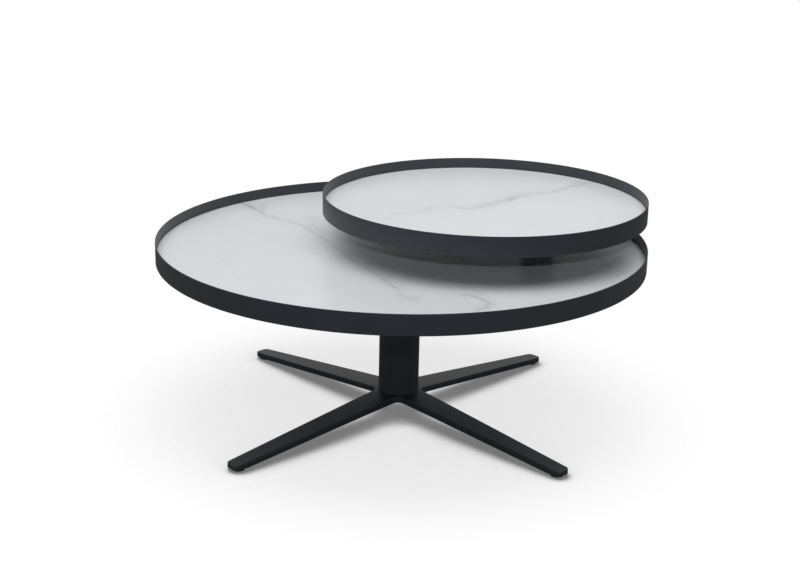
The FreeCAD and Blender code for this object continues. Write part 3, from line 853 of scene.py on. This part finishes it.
def cross(half_length, half_width):
    """Outline of a cross."""
    arm = [(half_length, -half_width), (half_length, half_width), (half_width, half_width)]
    turns = [Matrix.Rotation(math.pi / 2 * quarter, 2) for quarter in range(4)]
    return [tuple(turn @ Vector(point)) for turn in turns for point in arm]


def pan_screw(points):
    """A wood screw with a domed head below, a cross recess and a plain tapered end."""
    foot, shoulder, top, head, shank = head_sizes(points)
    tall = shoulder - foot
    profile = []
    for part in range(CORNER_PARTS + 1):
        turn = math.pi / 2 * part / CORNER_PARTS
        radius = head * (CROWN_FLAT + (1 - CROWN_FLAT) * math.sin(turn))
        profile.append((radius, foot + tall * CROWN_HEIGHT * (1 - math.cos(turn))))
    profile += [(head, shoulder), (shank, shoulder), (shank, top - shank), (shank * POINT_SHARE, top)]
    solid = stacked([(circle(ORIGIN, radius, SCREW_STEPS), height) for radius, height in profile])
    reach, wing = head * CROSS_REACH, head * CROSS_WING
    recess = [
        (cross(reach, wing), foot - tall),
        (cross(reach, wing), foot),
        (cross(reach * CROSS_TAPER, wing * CROSS_TAPER), foot + tall * CROSS_DEPTH),
    ]
    return cut_out(solid, stacked(recess))


for node, body in (
    ("lower_tab_screws", "base"), ("head_plate_screws", "base"), ("post_mount_screws", "base"),
    ("glide_screws", "base"), ("swivel_plate_screws", "upper_top"), ("upper_tab_screws", "upper_top"),
):
    copies = copies_of(node, SCREW_SPREAD)
    axes = [axis for axis, _ in copies]
    set_of("driven_" + node, node, pan_screw(copies[0][1]), axes, zinc_plate, body)

# %% [markdown]
# The hexagon bolt has its corners turned off. Its hexagon is drawn with as many points as a circle
# has, so that the two can be joined level by level.

# %% Base bolts, and the hexagon bolt of the spindle
SOCKET_SHARE, SOCKET_DEPTH, BOLT_CORNER = 0.52, 0.55, 0.0006
KEEPER_STEPS = 48


def hexagon(corner_radius, steps):
    """Points of a hexagon with a corner on the first axis, as many as a circle has."""
    flat = corner_radius * math.cos(math.pi / 6)
    turns = [2 * math.pi * step / steps for step in range(steps)]
    reaches = [flat / math.cos(turn % (math.pi / 3) - math.pi / 6) for turn in turns]
    return [(reach * math.cos(turn), reach * math.sin(turn)) for reach, turn in zip(reaches, turns)]


def socket_bolt(points):
    """A round-headed bolt, head down, with a hexagon socket."""
    foot, shoulder, top, head, shank = head_sizes(points)
    profile = [
        (head - BOLT_CORNER, foot), (head, foot + BOLT_CORNER), (head, shoulder), (shank, shoulder),
        (shank, top - BOLT_CORNER), (shank - BOLT_CORNER, top),
    ]
    solid = stacked([(circle(ORIGIN, radius, SCREW_STEPS), height) for radius, height in profile])
    socket = hexagon(head * SOCKET_SHARE, 6)
    depth = foot + (shoulder - foot) * SOCKET_DEPTH
    return cut_out(solid, stacked([(socket, foot - head), (socket, depth)]))


def hexagon_bolt(points):
    """A hexagon-headed bolt, head down, its corners turned off as usual."""
    foot, shoulder, top, head, shank = head_sizes(points)
    flat = head * math.cos(math.pi / 6)
    return stacked([
        (circle(ORIGIN, flat - BOLT_CORNER, KEEPER_STEPS), foot),
        (hexagon(head, KEEPER_STEPS), foot + (head - flat + BOLT_CORNER) / 2),
        (hexagon(head, KEEPER_STEPS), shoulder),
        (circle(ORIGIN, shank, KEEPER_STEPS), shoulder),
        (circle(ORIGIN, shank, KEEPER_STEPS), top - BOLT_CORNER),
        (circle(ORIGIN, shank - BOLT_CORNER, KEEPER_STEPS), top),
    ])


copies = copies_of("base_bolts", BOLT_SPREAD)
axes = [axis for axis, _ in copies]
set_of("socket_bolts", "base_bolts", socket_bolt(copies[0][1]), axes, zinc_plate, "base")
(spindle_axis, points), = copies_of("retaining_bolt", KEEPER_SPREAD)
keeper = loose_object("keeper", hexagon_bolt(points))
axes = [spindle_axis]
set_of("keeper_bolt", "retaining_bolt", keeper.data, axes, zinc_plate, "upper_top")
bpy.data.objects.remove(keeper)

# %% [markdown]
# ## Washers under the base and floor glides
# The washers lie under the bolt heads. The glides are moulded nylon pads with a rounded sole, and a
# recess in which the screw's head sits clear of the floor.

# %% Washers and glides
SOLE_CORNER, PAD_CORNER = 0.0012, 0.0003

maker = bmesh.new()
for axis, points in copies_of("base_washers", WASHER_SPREAD):
    radii = [radius for radius, _ in points]
    heights = [height for _, height in points]
    corners = [(min(radii), min(heights)), (max(radii), min(heights))]
    corners += [(max(radii), max(heights)), (min(radii), max(heights))]
    turned(maker, axis, rounded_corners(corners, WASHER_CORNER), PAD_STEPS)
new_piece("base_washer_set", maker, zinc_plate, "base", "base_washers")

maker = bmesh.new()
for axis, points in copies_of("floor_glides", GLIDE_SPREAD):
    top = max(height for _, height in points)
    outer = max(radius for radius, _ in points)
    bore = min(radius for radius, _ in points)
    recess = min(radius for radius, height in points if height < MILLIMETRE / 2)
    seat = min(height for radius, height in points if radius < (bore + recess) / 2)
    corners = [(outer, 0.0), (outer, top), (bore, top), (bore, seat), (recess, seat), (recess, 0.0)]
    outline = rounded_corners(corners, SOLE_CORNER, *[PAD_CORNER] * (len(corners) - 1))
    turned(maker, axis, outline, PAD_STEPS)
new_piece("glide_pads", maker, black_nylon, "base", "floor_glides")
